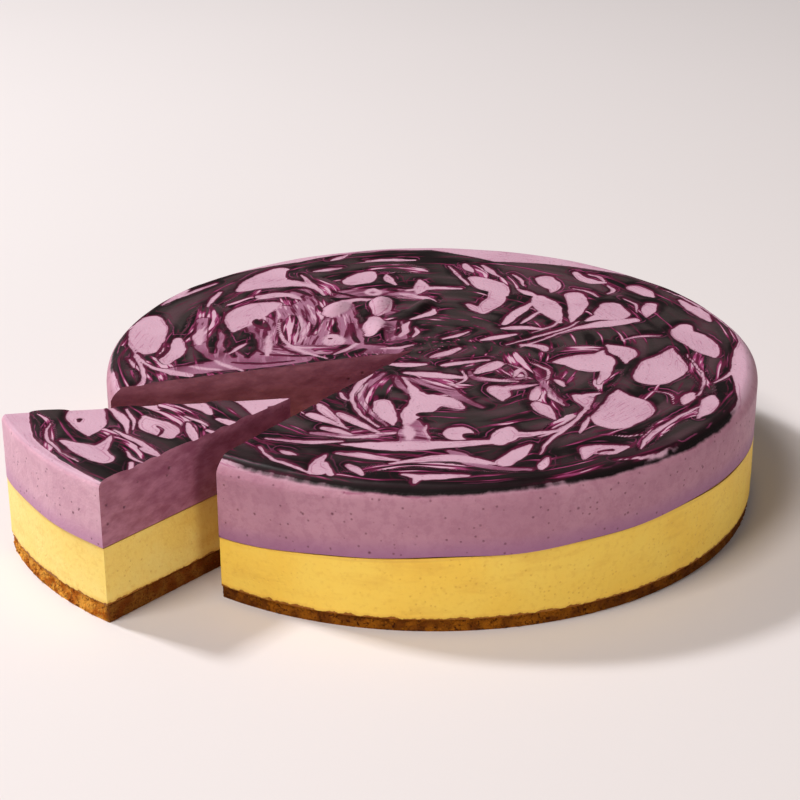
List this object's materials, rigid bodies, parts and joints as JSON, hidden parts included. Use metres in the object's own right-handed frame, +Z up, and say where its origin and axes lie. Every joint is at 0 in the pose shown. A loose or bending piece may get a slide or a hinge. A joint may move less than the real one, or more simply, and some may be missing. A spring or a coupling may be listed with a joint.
{
  "type": "cheesecake",
  "caption": "Round layered cheesecake with a crumb base, a yellow layer, a mauve mousse marbled with dark berry gel, and a slice drawn out of its notch.",
  "frame": {"origin": "on the floor under the cake's axis, at the middle of the round underside", "axes": "+Z up along the cake's axis; +Y away from the picture's camera; the notch and the slice lie towards -X and -Y"},
  "size_m": [0.2674, 0.2403, 0.0549],
  "materials": {
    "crumb": "coarse baked crumb, golden brown to dark brown",
    "baked_cream": "smooth, finely porous baked cream, satin",
    "berry_mousse": "mauve mousse with fine dark specks, its top marbled pink with glossy near-black berry gel"
  },
  "bodies": {
    "root": {"cake_crust": "crumb", "cake_filling": "baked_cream", "cake_mousse": "berry_mousse", "slice_crust": "crumb", "slice_filling": "baked_cream", "slice_mousse": "berry_mousse"}
  },
  "joints": []
}
